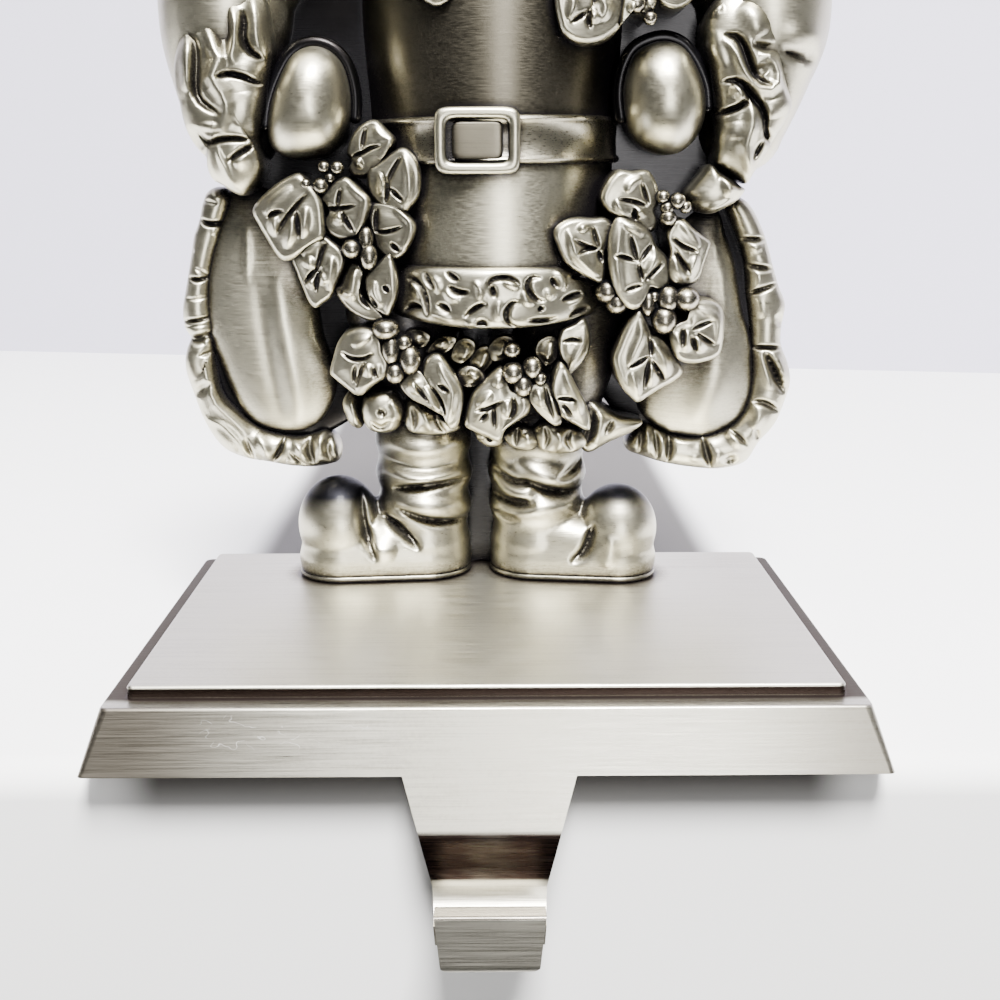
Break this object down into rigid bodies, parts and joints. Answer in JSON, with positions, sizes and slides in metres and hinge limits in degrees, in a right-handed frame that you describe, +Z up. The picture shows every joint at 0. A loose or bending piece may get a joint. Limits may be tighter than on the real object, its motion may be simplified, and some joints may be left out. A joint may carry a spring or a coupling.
{
  "type": "mantel stocking holder",
  "caption": "Weighted metal mantel stocking holder: a stepped base plate with a J hook in front and a cast winter figure standing at the back.",
  "frame": {"origin": "centre of the pad's underside, where it rests on the mantel", "axes": "+Z up, -Y out over the mantel's front edge where the hook hangs, +X to the right seen from the front"},
  "size_m": [0.1356, 0.1064, 0.2239],
  "materials": {
    "base_metal": "brushed antique pewter plating on zinc casting",
    "figure_metal": "brushed antique pewter plating, dark in the hollows",
    "pad": "black felt",
    "screw_steel": "zinc-plated steel"
  },
  "bodies": {
    "root": {"base_casting": "base_metal", "base_pad": "pad", "figure_casting": "figure_metal", "figure_screws": "screw_steel"}
  },
  "joints": []
}
